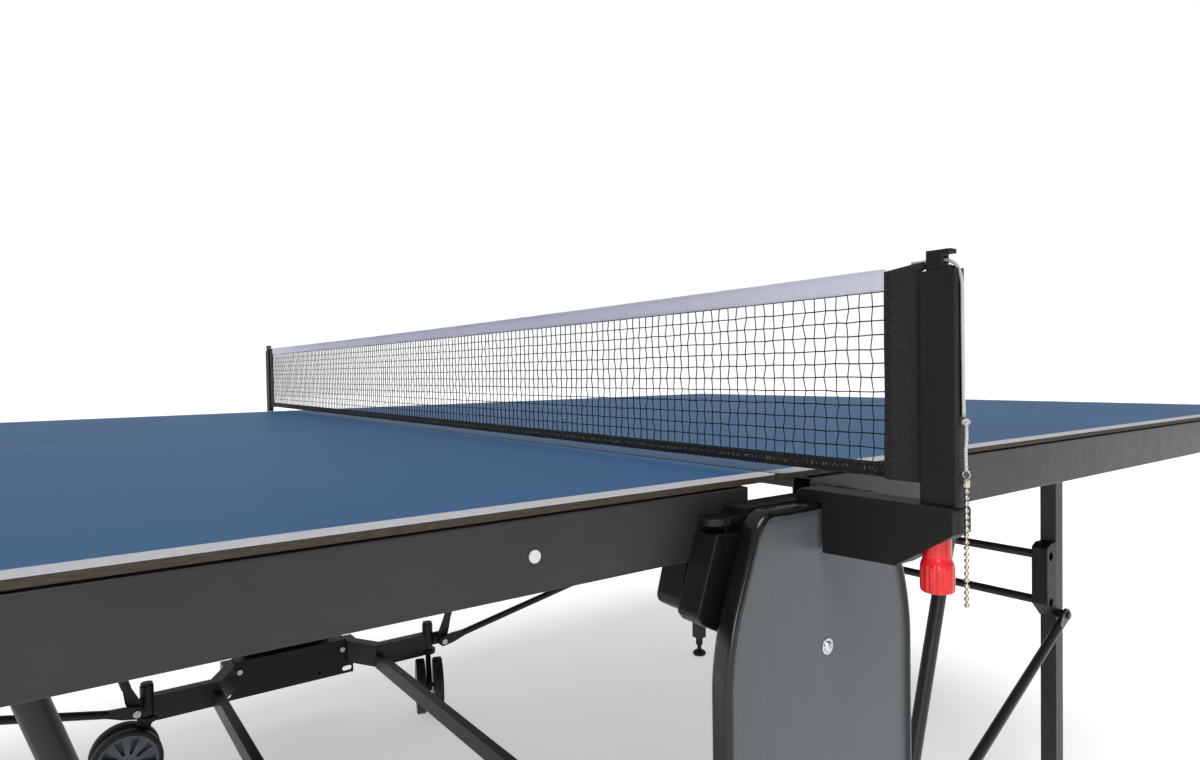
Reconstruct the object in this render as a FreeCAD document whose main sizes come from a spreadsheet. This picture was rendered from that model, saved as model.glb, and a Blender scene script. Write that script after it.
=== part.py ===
import FreeCAD, Part
import math
import os
import re

from FreeCAD import Placement, Rotation, Vector

# Folding table-tennis table. Millimetres, +Z up, X along the table, Y across it, the net over X = 0.
# Everything is drawn once, for the half at +X and the side at -Y, and mirrored to the others.

DIMENSIONS = [
    ("table_half", 1370), ("side_edge", 762.5), ("table_height", 760), ("board_thickness", 5),
    ("centre_gap", 2), ("board_corner", 7),
    ("apron_bottom", 705), ("apron_top", 753.4), ("apron_width", 20), ("apron_wall", 1.5),
    ("apron_inset", 38), ("beam_width", 30), ("beam_depth", 20), ("inner_beam_depth", 12),
    ("middle_beam_start", 898), ("plug_offset", 231), ("plug_radius", 4.2),
    ("lever_x", 64), ("lever_z", 720), ("lever_pin_radius", 3),
    ("base_pivot_x", 334), ("base_pivot_z", 170), ("half_pivot_x", 505.5), ("half_pivot_z", 715),
    ("link_y", 632), ("link_radius", 9), ("pivot_bolt_radius", 4), ("pivot_play", 0.05),
    ("plate_thickness", 4), ("tongue_thickness", 5), ("tongue_width", 24),
    ("leg_x", 1090), ("leg_y", 490), ("leg_width", 28), ("leg_wall", 1.5), ("leg_bottom", 52),
    ("leg_pivot_z", 703), ("leg_beam_start", 1122), ("crossbar_radius", 8), ("crossbar_x", 1056),
    ("upper_crossbar_z", 482), ("lower_crossbar_z", 395),
    ("strut_base_y", 618), ("strut_leg_y", 516), ("strut_leg_z", 368), ("strut_radius", 8),
    ("rail_inner", 170), ("rail_outer", 188), ("rail_bottom", 131), ("rail_top", 163),
    ("arm_y", 665), ("arm_width", 24), ("arm_bottom", 132), ("arm_top", 184), ("arm_corner", 180),
    ("channel_y", 740), ("channel_half_length", 128), ("channel_depth", 40),
    ("stem_x", 311), ("stem_radius", 13), ("stem_bottom", 144), ("stem_top", 206),
    ("wheel_radius", 65), ("wheel_width", 22), ("wheel_gap", 20), ("wheel_trail", 40),
    ("axle_radius", 5), ("tyre_depth", 9),
    ("panel_y", 794), ("panel_thickness", 12), ("panel_bottom", 85), ("panel_top", 739),
    ("panel_half_width", 104), ("panel_top_half_width", 69), ("trim_lip", 3),
    ("upright_x", 34), ("upright_y", 766), ("upright_depth", 18), ("upright_width", 30),
    ("bracket_half_width", 11), ("bracket_top", 753), ("bracket_outer", 912),
    ("post_half_width", 5.2), ("post_inner", 885.3), ("post_outer", 912), ("post_top", 907),
    ("cap_top", 920), ("knob_y", 895),
    ("net_end", 857), ("net_top", 912.5), ("tape_bottom", 897), ("hem_top", 777), ("net_bottom", 767),
    ("cord_radius", 1.1), ("cord_y", 913), ("knot_z", 808), ("bead_radius", 1.7), ("bead_pitch", 4.1),
]
ALIASES = {alias for alias, value in DIMENSIONS}
BEAD_COUNT = 19
SPOKE_COUNT = 10

doc = FreeCAD.newDocument("table_tennis_table")
sheet = doc.addObject("Spreadsheet::Sheet", "Dims")
for row, (alias, value) in enumerate(DIMENSIONS, start=1):
    sheet.set(f"A{row}", alias)
    sheet.set(f"B{row}", str(value))
    sheet.setAlias(f"B{row}", alias)
doc.recompute()

D = {alias: float(getattr(sheet, alias)) for alias in ALIASES}
subparts = {}


# ---------------------------------------------------------------- drawing helpers

def expression(text):
    """Turn a formula in the sheet's words into a FreeCAD expression."""
    return re.sub(r"[a-z]+(_[a-z]+)+", lambda word: "Dims." + word.group(0), str(text))


def place(feature, x, y, z, rotation=None):
    """Put a feature at a point given in the sheet's words."""
    feature.Placement = Placement(Vector(), rotation or Rotation())
    for axis, text in (("x", x), ("y", y), ("z", z)):
        feature.setExpression("Placement.Base." + axis, expression(text))
    return feature


def box(x, y, z):
    """A block from (start, end) pairs along X, Y and Z."""
    block = doc.addObject("Part::Box", "Block")
    block.setExpression("Length", expression(f"({x[1]}) - ({x[0]})"))
    block.setExpression("Width", expression(f"({y[1]}) - ({y[0]})"))
    block.setExpression("Height", expression(f"({z[1]}) - ({z[0]})"))
    return place(block, x[0], y[0], z[0])


AXIS_TURN = {
    "X": Rotation(Vector(0, 1, 0), 90),
    "Y": Rotation(Vector(1, 0, 0), -90),
    "Z": Rotation(),
}


def eased(block, radius):
    """A block with its four upright edges rounded."""
    doc.recompute()
    rounding = doc.addObject("Part::Fillet", "Eased")
    rounding.Base = block
    upright = [index for index, edge in enumerate(block.Shape.Edges, start=1) if edge.BoundBox.ZLength > 1]
    rounding.Edges = [(index, radius, radius) for index in upright]
    return rounding


def rod(radius, start, end, along, centre):
    """A round bar along one axis; centre gives its two other coordinates in X, Y, Z order."""
    bar = doc.addObject("Part::Cylinder", "Rod")
    bar.setExpression("Radius", expression(radius))
    bar.setExpression("Height", expression(f"({end}) - ({start})"))
    at = list(centre)
    at.insert("XYZ".index(along), start)
    return place(bar, *at, AXIS_TURN[along])


def cut(base, *tools):
    feature = base
    for tool in tools:
        difference = doc.addObject("Part::Cut", "Difference")
        difference.Base = feature
        difference.Tool = tool
        feature = difference
    return feature


def fuse(*shapes):
    union = doc.addObject("Part::MultiFuse", "Union")
    union.Shapes = list(shapes)
    return union


def group(*shapes):
    bundle = doc.addObject("Part::Compound", "Group")
    bundle.Links = list(shapes)
    return bundle


def mirrored(source, axis):
    """The same piece on the other side: axis X for the other half, Y for the far side."""
    copy = doc.addObject("Part::Mirroring", "Mirrored")
    copy.Source = source
    copy.Normal = Vector(1, 0, 0) if axis == "X" else Vector(0, 1, 0)
    return copy


def both(source, axis="Y"):
    return group(source, mirrored(source, axis))


def four(source):
    return both(both(source, "X"), "Y")


def solid(shape, name="Shaped"):
    """A piece drawn with Part's own functions."""
    feature = doc.addObject("Part::Feature", name)
    feature.Shape = shape
    return feature


def name_it(label, feature):
    feature.Label = label
    subparts[label] = feature
    return feature


def name_pair(label, feature):
    """Name the piece of the half at +X and its mirror image in the other half."""
    name_it(label + "_right", feature)
    name_it(label + "_left", mirrored(feature, "X"))


def profile_body(name, plane, wires, length, offset="0", symmetric=False):
    """A PartDesign body: closed outlines of lines and arcs, padded by a length in the sheet's words."""
    body = doc.addObject("PartDesign::Body", name)
    sketch = body.newObject("Sketcher::SketchObject", name + "Outline")
    origin_plane = [feature for feature in body.Origin.OriginFeatures if feature.Role == plane][0]
    sketch.AttachmentSupport = [(origin_plane, "")]
    sketch.MapMode = "FlatFace"
    sketch.setExpression("AttachmentOffset.Base.z", expression(offset))
    for wire in wires:
        for edge in wire:
            sketch.addGeometry(edge, False)
    doc.recompute()
    pad = body.newObject("PartDesign::Pad", name + "Pad")
    pad.Profile = sketch
    pad.setExpression("Length", expression(length))
    pad.Midplane = symmetric
    doc.recompute()
    return body


def revolved_body(name, outline):
    """A PartDesign body turned about Z from (radius, height) points."""
    body = doc.addObject("PartDesign::Body", name)
    sketch = body.newObject("Sketcher::SketchObject", name + "Outline")
    origin_plane = [feature for feature in body.Origin.OriginFeatures if feature.Role == "XZ_Plane"][0]
    sketch.AttachmentSupport = [(origin_plane, "")]
    sketch.MapMode = "FlatFace"
    for edge in polygon(outline):
        sketch.addGeometry(edge, False)
    doc.recompute()
    turn = body.newObject("PartDesign::Revolution", name + "Turn")
    turn.Profile = sketch
    turn.ReferenceAxis = (sketch, ["V_Axis"])
    turn.Angle = 360
    doc.recompute()
    return body


def polygon(points):
    """Closed straight edges through (u, v) points."""
    corners = [Vector(u, v, 0) for u, v in points]
    return [Part.LineSegment(a, b) for a, b in zip(corners, corners[1:] + corners[:1])]


def rounded(points):
    """Closed edges through (u, v, radius) corners, each corner turned by an arc of its radius."""
    count = len(points)
    tangents = []
    for index, (u, v, radius) in enumerate(points):
        here = Vector(u, v, 0)
        before = Vector(*points[index - 1][:2], 0) - here
        after = Vector(*points[(index + 1) % count][:2], 0) - here
        before.normalize()
        after.normalize()
        if radius == 0:
            tangents.append((here, None, here))
            continue
        half_angle = before.getAngle(after) / 2
        reach = radius / math.tan(half_angle)
        bisector = (before + after).normalize()
        centre = here + bisector * (radius / math.sin(half_angle))
        tangents.append((here + before * reach, centre - bisector * radius, here + after * reach))
    edges = []
    for index, (start, middle, end) in enumerate(tangents):
        if middle is not None:
            edges.append(Part.Arc(start, middle, end))
        following = tangents[(index + 1) % count][0]
        if (following - end).Length > 1e-6:
            edges.append(Part.LineSegment(end, following))
    return edges


# ---------------------------------------------------------------- tubes with flattened, drilled ends

def flat_ended_tube(start, end, radius):
    """A round tube between two pivots on Y axes, its ends pressed flat and drilled for the bolts."""
    along = (end - start).normalize()
    flat_direction = along.cross(Vector(0, 1, 0)).normalize()
    thin_direction = flat_direction.cross(along).normalize()
    half_width = D["tongue_width"] / 2
    half_thickness = D["tongue_thickness"] / 2
    tongue = 24
    neck = 52

    def section(distance, half_u, half_v):
        centre = start + along * distance
        corners = []
        for u, v in ((-1, -1), (1, -1), (1, 1), (-1, 1)):
            corners.append(centre + flat_direction * (u * half_u) + thin_direction * (v * half_v))
        return Part.makePolygon(corners + corners[:1])

    length = (end - start).Length
    square = radius * 0.886
    shape = Part.makeCylinder(radius, length - 2 * neck, start + along * neck, along)
    for near_end, sign in ((0, 1), (length, -1)):
        flat = Part.makeLoft([section(near_end + sign * tongue, half_width, half_thickness),
                              section(near_end + sign * (neck + 6), square * 0.8, square * 0.8)], True)
        shape = shape.fuse(flat)
    for pivot, toward in ((start, along), (end, along * -1)):
        direction = Vector(toward.x, 0, toward.z).normalize()
        across = Vector(direction.z, 0, -direction.x)
        disc = Part.makeCylinder(half_width, 2 * half_thickness, pivot - Vector(0, half_thickness, 0),
                                 Vector(0, 1, 0))
        reach = toward * (tongue + 1)
        corners = [pivot + across * half_width, pivot + across * half_width + reach,
                   pivot - across * half_width + reach, pivot - across * half_width]
        corners = [corner - Vector(0, half_thickness, 0) for corner in corners]
        blade = Part.Face(Part.makePolygon(corners + corners[:1])).extrude(Vector(0, 2 * half_thickness, 0))
        hole = Part.makeCylinder(D["pivot_bolt_radius"] + D["pivot_play"], 40, pivot - Vector(0, 20, 0),
                                 Vector(0, 1, 0))
        shape = shape.fuse([disc, blade]).cut(hole)
    return shape.removeSplitter()


# ---------------------------------------------------------------- table halves

def table_board():
    radius = D["board_corner"]
    outline = rounded([(D["centre_gap"], -D["side_edge"], radius), (D["table_half"], -D["side_edge"], radius),
                       (D["table_half"], D["side_edge"], radius), (D["centre_gap"], D["side_edge"], radius)])
    body = profile_body("Board", "XY_Plane", [outline], "board_thickness", "table_height - board_thickness")
    name_pair("playing_board", body)


def open_tube(x, y, z, wall, along):
    """A rectangular tube open at its two ends."""
    outer = box(x, y, z)
    inner = []
    for axis, (start, end) in zip("XYZ", (x, y, z)):
        if axis == along:
            inner.append((start, end))
        else:
            inner.append((f"{start} + {wall}", f"{end} - {wall}"))
    return cut(outer, box(*inner))


def apron_frame():
    side = open_tube(("apron_inset", "table_half"), ("0 - side_edge", "apron_width - side_edge"),
                     ("apron_bottom", "apron_top"), "apron_wall", "X")
    rounding = doc.addObject("Part::Fillet", "SideRail")
    rounding.Base = side
    doc.recompute()
    crest = []
    for index, edge in enumerate(side.Shape.Edges, start=1):
        middle = edge.BoundBox.Center
        outside = abs(middle.y + D["side_edge"]) < 0.01
        if outside and edge.BoundBox.XLength > 1000:
            crest.append((index, 1.2, 1.2))
    rounding.Edges = crest
    end = open_tube(("table_half - apron_width", "table_half"),
                    ("apron_width - side_edge", "side_edge - apron_width"),
                    ("apron_bottom", "apron_top"), "apron_wall", "Y")
    name_pair("apron_rails", group(both(rounding), end))


def cross_beams():
    between = ("apron_width - side_edge", "side_edge - apron_width")
    top = "table_height - board_thickness"
    beams = [
        open_tube(("apron_inset", "apron_inset + beam_width"), between,
                  (f"{top} - inner_beam_depth", top), "apron_wall", "Y")]
    for start in ("half_pivot_x + 20", "middle_beam_start", "leg_beam_start"):
        beams.append(open_tube((start, f"{start} + beam_width"), between,
                               (f"{top} - beam_depth", top), "apron_wall", "Y"))
    name_pair("cross_beams", group(*beams))


def pivot_brackets():
    """Clevis plates under the beams with the link and leg bolts, and the pins of the release levers."""
    beam_bottom = "table_height - board_thickness - beam_depth"
    pieces = []
    for side in (1, -1):
        if side == 1:
            link_span = ("0 - link_y + tongue_thickness/2 + 0.5",
                         "0 - link_y + tongue_thickness/2 + 0.5 + plate_thickness")
            leg_span = ("0 - leg_y + leg_width/2 + 0.5", "0 - leg_y + leg_width/2 + 0.5 + plate_thickness")
        else:
            link_span = ("0 - link_y - tongue_thickness/2 - 0.5 - plate_thickness",
                         "0 - link_y - tongue_thickness/2 - 0.5")
            leg_span = ("0 - leg_y - leg_width/2 - 0.5 - plate_thickness", "0 - leg_y - leg_width/2 - 0.5")
        pieces.append(box(("half_pivot_x - 14", "half_pivot_x + 50"), link_span,
                          ("half_pivot_z - 13", beam_bottom)))
        pieces.append(box(("leg_x - 13", "leg_beam_start + beam_width"), leg_span,
                          ("leg_pivot_z - 13", beam_bottom)))
    link_bolt = rod("pivot_bolt_radius", "0 - link_y - 11", "0 - link_y + 11", "Y",
                    ("half_pivot_x", "half_pivot_z"))
    leg_bolt = rod("pivot_bolt_radius", "0 - leg_y - leg_width/2 - 9", "0 - leg_y + leg_width/2 + 9", "Y",
                   ("leg_x", "leg_pivot_z"))
    link_clevis = fuse(pieces[0], pieces[2], link_bolt)
    leg_clevis = fuse(pieces[1], pieces[3], leg_bolt)
    lever_pin = rod("lever_pin_radius", "apron_width - side_edge", "apron_width - side_edge + 33", "Y",
                    ("lever_x", "lever_z"))
    name_pair("pivot_brackets", both(group(link_clevis, leg_clevis, lever_pin)))


def rail_plugs():
    plug = rod("plug_radius", "0 - side_edge - 1", "0 - side_edge", "Y", ("plug_offset", "729"))
    name_pair("apron_plugs", both(plug))


def release_levers():
    """Black grips inside the apron that free the lock; both grips of a half turn on one Y axis."""
    outline = rounded([(54, 728, 5), (74, 728, 5), (80, 700, 12), (90, 664, 8), (68, 652, 6),
                       (52, 700, 12)])
    grip = profile_body("Grip", "XZ_Plane", [outline], "26", "side_edge - apron_width - 30")
    bore = rod("lever_pin_radius + pivot_play", "0 - side_edge", "0 - leg_y", "Y", ("lever_x", "lever_z"))
    name_pair("release_levers", both(cut(grip, bore)))


# ---------------------------------------------------------------- folding linkage

def links():
    start = Vector(D["base_pivot_x"], -D["link_y"], D["base_pivot_z"])
    end = Vector(D["half_pivot_x"], -D["link_y"], D["half_pivot_z"])
    name_pair("link_tubes", both(solid(flat_ended_tube(start, end, D["link_radius"]), "Link")))


def struts():
    start = Vector(D["base_pivot_x"], -D["strut_base_y"], D["base_pivot_z"])
    end = Vector(D["leg_x"], -D["strut_leg_y"], D["strut_leg_z"])
    tube = flat_ended_tube(start, end, D["strut_radius"])
    clear_of_leg = D["leg_y"] + D["leg_width"] / 2 + 0.4
    blade_face = D["strut_leg_y"] - D["tongue_thickness"] / 2
    outward = Vector(0, -1, 0)
    root = Vector(D["leg_x"], -clear_of_leg, D["strut_leg_z"])
    spacer = Part.makeCylinder(8, blade_face - clear_of_leg, root, outward)
    bolt = Part.makeCylinder(D["pivot_bolt_radius"] + D["pivot_play"], 12, root, outward)
    head_at = Vector(D["leg_x"], -blade_face - D["tongue_thickness"], D["strut_leg_z"])
    head = Part.makeCylinder(6.5, 4, head_at, outward)
    shape = tube.fuse([spacer, bolt, head]).removeSplitter()
    name_pair("leg_struts", both(solid(shape, "Strut")))


def legs():
    half = "leg_width/2"
    outer = box((f"leg_x - {half}", f"leg_x + {half}"), (f"0 - leg_y - {half}", f"0 - leg_y + {half}"),
                ("leg_bottom", "leg_pivot_z + 13"))
    inner = box((f"leg_x - {half} + leg_wall", f"leg_x + {half} - leg_wall"),
                (f"0 - leg_y - {half} + leg_wall", f"0 - leg_y + {half} - leg_wall"),
                ("leg_bottom", "leg_pivot_z + 13"))
    bore = rod("pivot_bolt_radius + pivot_play", "0 - leg_y - leg_width", "0 - leg_y + leg_width", "Y",
               ("leg_x", "leg_pivot_z"))
    name_pair("legs", both(cut(outer, inner, bore)))
    bars = []
    for height in ("upper_crossbar_z", "lower_crossbar_z"):
        bars.append(rod("crossbar_radius", "0 - leg_y + leg_width/2 - 4", "leg_y - leg_width/2 + 4", "Y",
                        ("crossbar_x", height)))
    name_pair("leg_crossbars", group(*bars))
    outline = rounded([(1076, 360, 2), (1076, 506, 0), (1056, 506, 4), (1041, 499, 3), (1041, 392, 3)])
    holder = profile_body("Holder", "XZ_Plane", [outline], "leg_width", "leg_y - leg_width/2")
    sockets = []
    for height in ("upper_crossbar_z", "lower_crossbar_z"):
        sockets.append(rod("crossbar_radius", "0 - leg_y - leg_width", "0 - leg_y + leg_width", "Y",
                           ("crossbar_x", height)))
    plain = cut(holder, *sockets)
    name_pair("crossbar_holders", both(plain))


def feet():
    """Screw foot: a stub plug in the leg's open end, a threaded stem and a round pad."""
    outline = [(0, 0), (17, 0), (19, 3), (19, 8), (12, 14), (6, 15), (6, 30), (10, 31), (10, 51.9),
               (0, 51.9)]
    for side, y in (("near", "0 - leg_y"), ("far", "leg_y")):
        for half, x in (("right", "leg_x"), ("left", "0 - leg_x")):
            foot = revolved_body(f"Foot{side}{half}", outline)
            name_it(f"foot_{side}_{half}", place(foot, x, y, "0"))


# ---------------------------------------------------------------- base

def base_frame():
    rail = open_tube(("rail_inner", "rail_outer"), ("arm_width/2 - arm_y", "arm_y - arm_width/2"),
                     ("rail_bottom", "rail_top"), "apron_wall", "Y")
    name_it("base_rails", both(rail, "X"))

    corner = D["arm_corner"]
    outer_y = D["arm_y"] + D["arm_width"] / 2
    inner_y = D["arm_y"] - D["arm_width"] / 2
    channel_end = D["channel_half_length"]
    outline = [
        (D["stem_x"] - 10, -outer_y), (corner + 8, -outer_y), (channel_end + 24, -D["channel_y"]),
        (channel_end + 24, 2 - D["channel_y"] - D["channel_depth"]),
        (channel_end, 2 - D["channel_y"] - D["channel_depth"]),
        (channel_end, 12 - D["channel_y"]), (corner - 8, -inner_y), (D["stem_x"] - 10, -inner_y)]
    arm = profile_body("Arm", "XY_Plane", [polygon(outline)], "arm_top - arm_bottom", "arm_bottom")
    crown_space = rod("20", "arm_bottom - 1", "stem_bottom - 0.3", "Z", ("stem_x", "0 - arm_y"))
    housing = rod("stem_radius", "stem_bottom", "stem_top", "Z", ("stem_x", "0 - arm_y"))
    lug = box(("stem_x + stem_radius - 3", "base_pivot_x + 12"),
              ("arm_width/2 - arm_y - 4", "arm_width/2 - arm_y + 3"),
              ("base_pivot_z - 15", "base_pivot_z + 15"))
    bore = rod("axle_radius + pivot_play", "stem_bottom - 1", "stem_top + 1", "Z", ("stem_x", "0 - arm_y"))
    name_it("caster_arms", four(cut(fuse(arm, housing, lug), bore, crown_space)))

    pivot_at = ("base_pivot_x", "base_pivot_z")
    lug_face = "arm_width/2 - arm_y + 3"
    strut_face = "0 - strut_base_y + tongue_thickness/2"
    pivot = rod("pivot_bolt_radius", lug_face, f"{strut_face} + 2", "Y", pivot_at)
    head = rod("7", f"{strut_face} + 1.6", f"{strut_face} + 6", "Y", pivot_at)
    spacer = rod("9", lug_face, "0 - link_y - tongue_thickness/2 - 0.4", "Y", pivot_at)
    name_it("base_pivot_bolts", four(fuse(pivot, head, spacer)))

    channel = open_tube(("0 - channel_half_length", "channel_half_length"),
                        ("0 - channel_y - channel_depth", "0 - channel_y"), ("140", "187"), "2.5", "X")
    channel_bolt = rod("6", "0 - channel_y", "4 - channel_y", "Y", ("channel_half_length - 10", "163"))
    name_it("channel_bolts", four(channel_bolt))

    plate = box(("0 - 158", "158"), ("0 - 784", "0 - 781"), ("86", "139.5"))
    holes = [rod("4", "0 - 790", "0 - 780", "Y", (x, "102")) for x in ("73", "0 - 73")]
    slots = [fuse(rod("6", "0 - 790", "0 - 780", "Y", (f"{sign}136", "98")),
                  rod("6", "0 - 790", "0 - 780", "Y", (f"{sign}148", "98")),
                  box((f"{sign}142 - 6", f"{sign}142 + 6"), ("0 - 790", "0 - 780"), ("92", "104")))
             for sign in ("", "0 - ")]
    tab = box(("0 - 120", "120"), ("0 - 784", "0 - 780"), ("139.5", "142"))
    end_plate = cut(fuse(plate, tab), *holes, *slots)
    name_it("end_channels", both(group(channel, end_plate)))


def casters():
    """Twin-wheel swivel casters. Each is drawn trailing towards -X and turned to its own rest angle."""
    gap = D["wheel_gap"] / 2
    radius = D["wheel_radius"]
    width = D["wheel_width"]
    trail = D["wheel_trail"]
    disc_radius = radius - D["tyre_depth"]

    def wheel(side):
        inner = gap if side > 0 else -gap - width
        tyre = Part.makeCylinder(radius, width, Vector(0, inner, 0), Vector(0, 1, 0))
        tyre = tyre.makeFillet(4, [edge for edge in tyre.Edges if edge.Length > 6 * radius
                                   and edge.Closed])
        tyre = tyre.cut(Part.makeCylinder(disc_radius, width, Vector(0, inner, 0), Vector(0, 1, 0)))
        disc = Part.makeCylinder(disc_radius, width, Vector(0, inner, 0), Vector(0, 1, 0))
        face = inner + width if side > 0 else inner
        for number_of_spoke in range(SPOKE_COUNT):
            wedge_points = []
            for reach, half_angle in ((20, 6), (disc_radius - 5, 8)):
                for sign in (-1, 1):
                    wedge_points.append((reach, sign * half_angle))
            corners = []
            for reach, angle in (wedge_points[0], wedge_points[1], wedge_points[3], wedge_points[2]):
                turn = math.radians(angle + number_of_spoke * 360 / SPOKE_COUNT)
                corners.append(Vector(reach * math.cos(turn), face, reach * math.sin(turn)))
            pocket = Part.Face(Part.makePolygon(corners + corners[:1]))
            disc = disc.cut(pocket.extrude(Vector(0, -side * 9, 0)))
        bore = Part.makeCylinder(D["axle_radius"] + D["pivot_play"], 90, Vector(0, -45, 0), Vector(0, 1, 0))
        return tyre, disc.cut(bore)

    tyre_pair = Part.makeCompound([wheel(1)[0], wheel(-1)[0]])
    disc_pair = Part.makeCompound([wheel(1)[1], wheel(-1)[1]])
    web = rounded([(12, 138, 0), (-12, 138, 0), (-trail - 13, radius + 8, 10), (-trail - 13, radius - 14, 12),
                   (-trail + 14, radius - 14, 12)])
    web_face = Part.Face(Part.Wire([edge.toShape().rotate(Vector(), Vector(1, 0, 0), 90) for edge in web]))
    fork = web_face.extrude(Vector(0, -12, 0))
    fork.translate(Vector(0, 6, 0))
    crown = Part.makeCylinder(19, 10, Vector(0, 0, 133))
    pin = Part.makeCylinder(D["axle_radius"], 75, Vector(0, 0, 134))
    cap = Part.makeCylinder(11.5, 5, Vector(0, 0, D["stem_top"] + 0.5))
    axle = Part.makeCylinder(D["axle_radius"], 2 * (gap + width) - 4, Vector(-trail, -gap - width + 2, radius),
                             Vector(0, 1, 0))
    fork = fork.fuse([crown, pin, cap, axle]).removeSplitter()
    wheel_offset = Vector(-trail, 0, radius)

    rest_angles = {"far_right": 70, "far_left": 0, "near_right": 205, "near_left": 150}
    for corner, angle in rest_angles.items():
        side, half = corner.split("_")
        x = D["stem_x"] if half == "right" else -D["stem_x"]
        y = D["arm_y"] if side == "far" else -D["arm_y"]
        turned = Rotation(Vector(0, 0, 1), angle)
        at = Vector(x, y, 0)
        fork_piece = solid(fork, "CasterFork")
        fork_piece.Placement = Placement(at, turned)
        name_it("caster_fork_" + corner, fork_piece)
        for label, pair in (("caster_tyres_", tyre_pair), ("caster_discs_", disc_pair)):
            piece = solid(pair, "CasterWheels")
            piece.Placement = Placement(at + turned.multVec(wheel_offset), turned)
            name_it(label + corner, piece)


# ---------------------------------------------------------------- net towers

def panel_outline(margin):
    """Half-width and height of the side cover, drawn inwards by a margin."""
    half = D["panel_half_width"] - margin
    top_half = D["panel_top_half_width"] - margin
    top = D["panel_top"] - margin
    return rounded([(-half + 12, D["panel_bottom"], 4), (half - 12, D["panel_bottom"], 4),
                    (half, 470, 400), (half, 652, 180), (top_half, top, 12),
                    (-top_half, top, 12), (-half, 652, 180), (-half, 470, 400)])


def tower():
    upright = open_tube(("upright_x - upright_width/2", "upright_x + upright_width/2"),
                        ("0 - upright_y - upright_depth + 2.5", "0 - upright_y"), ("187", "738"),
                        "1.5", "Z")
    head = box(("0 - 68", "68"), ("0 - 789", "0 - upright_y"), ("738", "744"))
    reach = "upright_x + upright_width/2"
    carrier = box((f"0 - ({reach})", reach), ("0 - panel_y", "2.5 - upright_y - upright_depth"),
                  ("620", "646"))
    threaded = cut(carrier, rod("2.6", "0 - 800", "0 - 770", "Y", ("0", "633")))
    name_it("tower_uprights", both(group(both(upright, "X"), head, threaded)))
    panel = profile_body("Panel", "XZ_Plane", [panel_outline(0)], "panel_thickness", "panel_y")
    screw_hole = rod("2.6", "0 - 810", "0 - 790", "Y", ("0", "633"))
    name_it("side_panels", both(cut(panel, screw_hole)))
    thickness = "panel_thickness + 3"
    edge = cut(profile_body("Edge", "XZ_Plane", [panel_outline(-5)], thickness, "panel_y - 3"),
               profile_body("EdgeSpace", "XZ_Plane", [panel_outline(0)], thickness, "panel_y - 3"))
    lip_start = "panel_y + panel_thickness"
    lip = cut(profile_body("Lip", "XZ_Plane", [panel_outline(-5)], "trim_lip", lip_start),
              profile_body("LipSpace", "XZ_Plane", [panel_outline(1)], "trim_lip", lip_start))
    name_it("panel_trims", both(fuse(edge, lip)))
    screw = fuse(rod("2.5", "0 - 806", "0 - 791", "Y", ("0", "633")),
                 rod("5.5", "0 - 809.5", "0 - 806", "Y", ("0", "633")))
    slot_a = box(("0 - 0.7", "0.7"), ("0 - 810", "0 - 807.5"), ("630", "636"))
    slot_b = box(("0 - 3", "3"), ("0 - 810", "0 - 807.5"), ("632.3", "633.7"))
    name_it("panel_screws", both(cut(screw, slot_a, slot_b)))


def lock_housings():
    """Black boxes between the apron and the side cover, with a rounded plate above a shadowed recess."""
    outline = rounded([(50, 722, 2), (94, 728, 4), (114, 672, 4), (109, 666, 3), (62, 642, 4), (50, 650, 2)])
    case = profile_body("Case", "XZ_Plane", [outline], "21", "side_edge + 2")
    shelf = box(("50", "85"), ("0 - 785", "0 - side_edge - 2"), ("733", "737.9"))
    nose = rod("11", "733", "737.9", "Z", ("87", "0 - side_edge - 13"))
    neck = box(("60", "80"), ("0 - 780", "0 - side_edge - 6"), ("722", "733"))
    name_it("lock_housings", four(fuse(case, shelf, nose, neck)))


def net_bracket():
    top = D["bracket_top"]
    outline = rounded([(-D["bracket_outer"], 736, 0), (-D["bracket_outer"], top, 3), (-786, top, 6),
                       (-786, 744, 0), (-811, 744, 0), (-811, 707, 0), (-871, 709, 2)])
    arm = profile_body("BracketArm", "YZ_Plane", [outline], "2*bracket_half_width", "0", True)
    well = rod("9.8", "700", "738.5", "Z", ("0", "0 - knob_y"))
    bore = rod("4.05", "730", "750", "Z", ("0", "0 - knob_y"))
    name_it("net_brackets", both(cut(arm, well, bore)))

    post = box(("0 - post_half_width", "post_half_width"), ("0 - post_outer", "0 - post_inner"),
               ("bracket_top", "post_top"))
    post = eased(post, 2)
    groove = box(("0 - 2.5", "2.5"), ("0 - post_outer - 1", "3.1 - post_outer"), ("812", "post_top"))
    socket = box(("0 - 3.4", "3.4"), ("4.7 - post_outer", "0 - post_inner - 4.6"),
                 ("post_top - 40", "post_top"))
    name_it("net_posts", both(cut(post, groove, socket)))


def knobs():
    outline = [(0, 695), (10, 695), (10.7, 696.5), (11, 712), (9.1, 716), (9.1, 738), (4, 738), (4, 749.5),
               (0, 749.5)]
    for side, y in (("near", "0 - knob_y"), ("far", "knob_y")):
        knob = revolved_body("Knob" + side, outline)
        name_it("height_knob_" + side, place(knob, "0", y, "0"))


# ---------------------------------------------------------------- net, cord and chain

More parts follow.
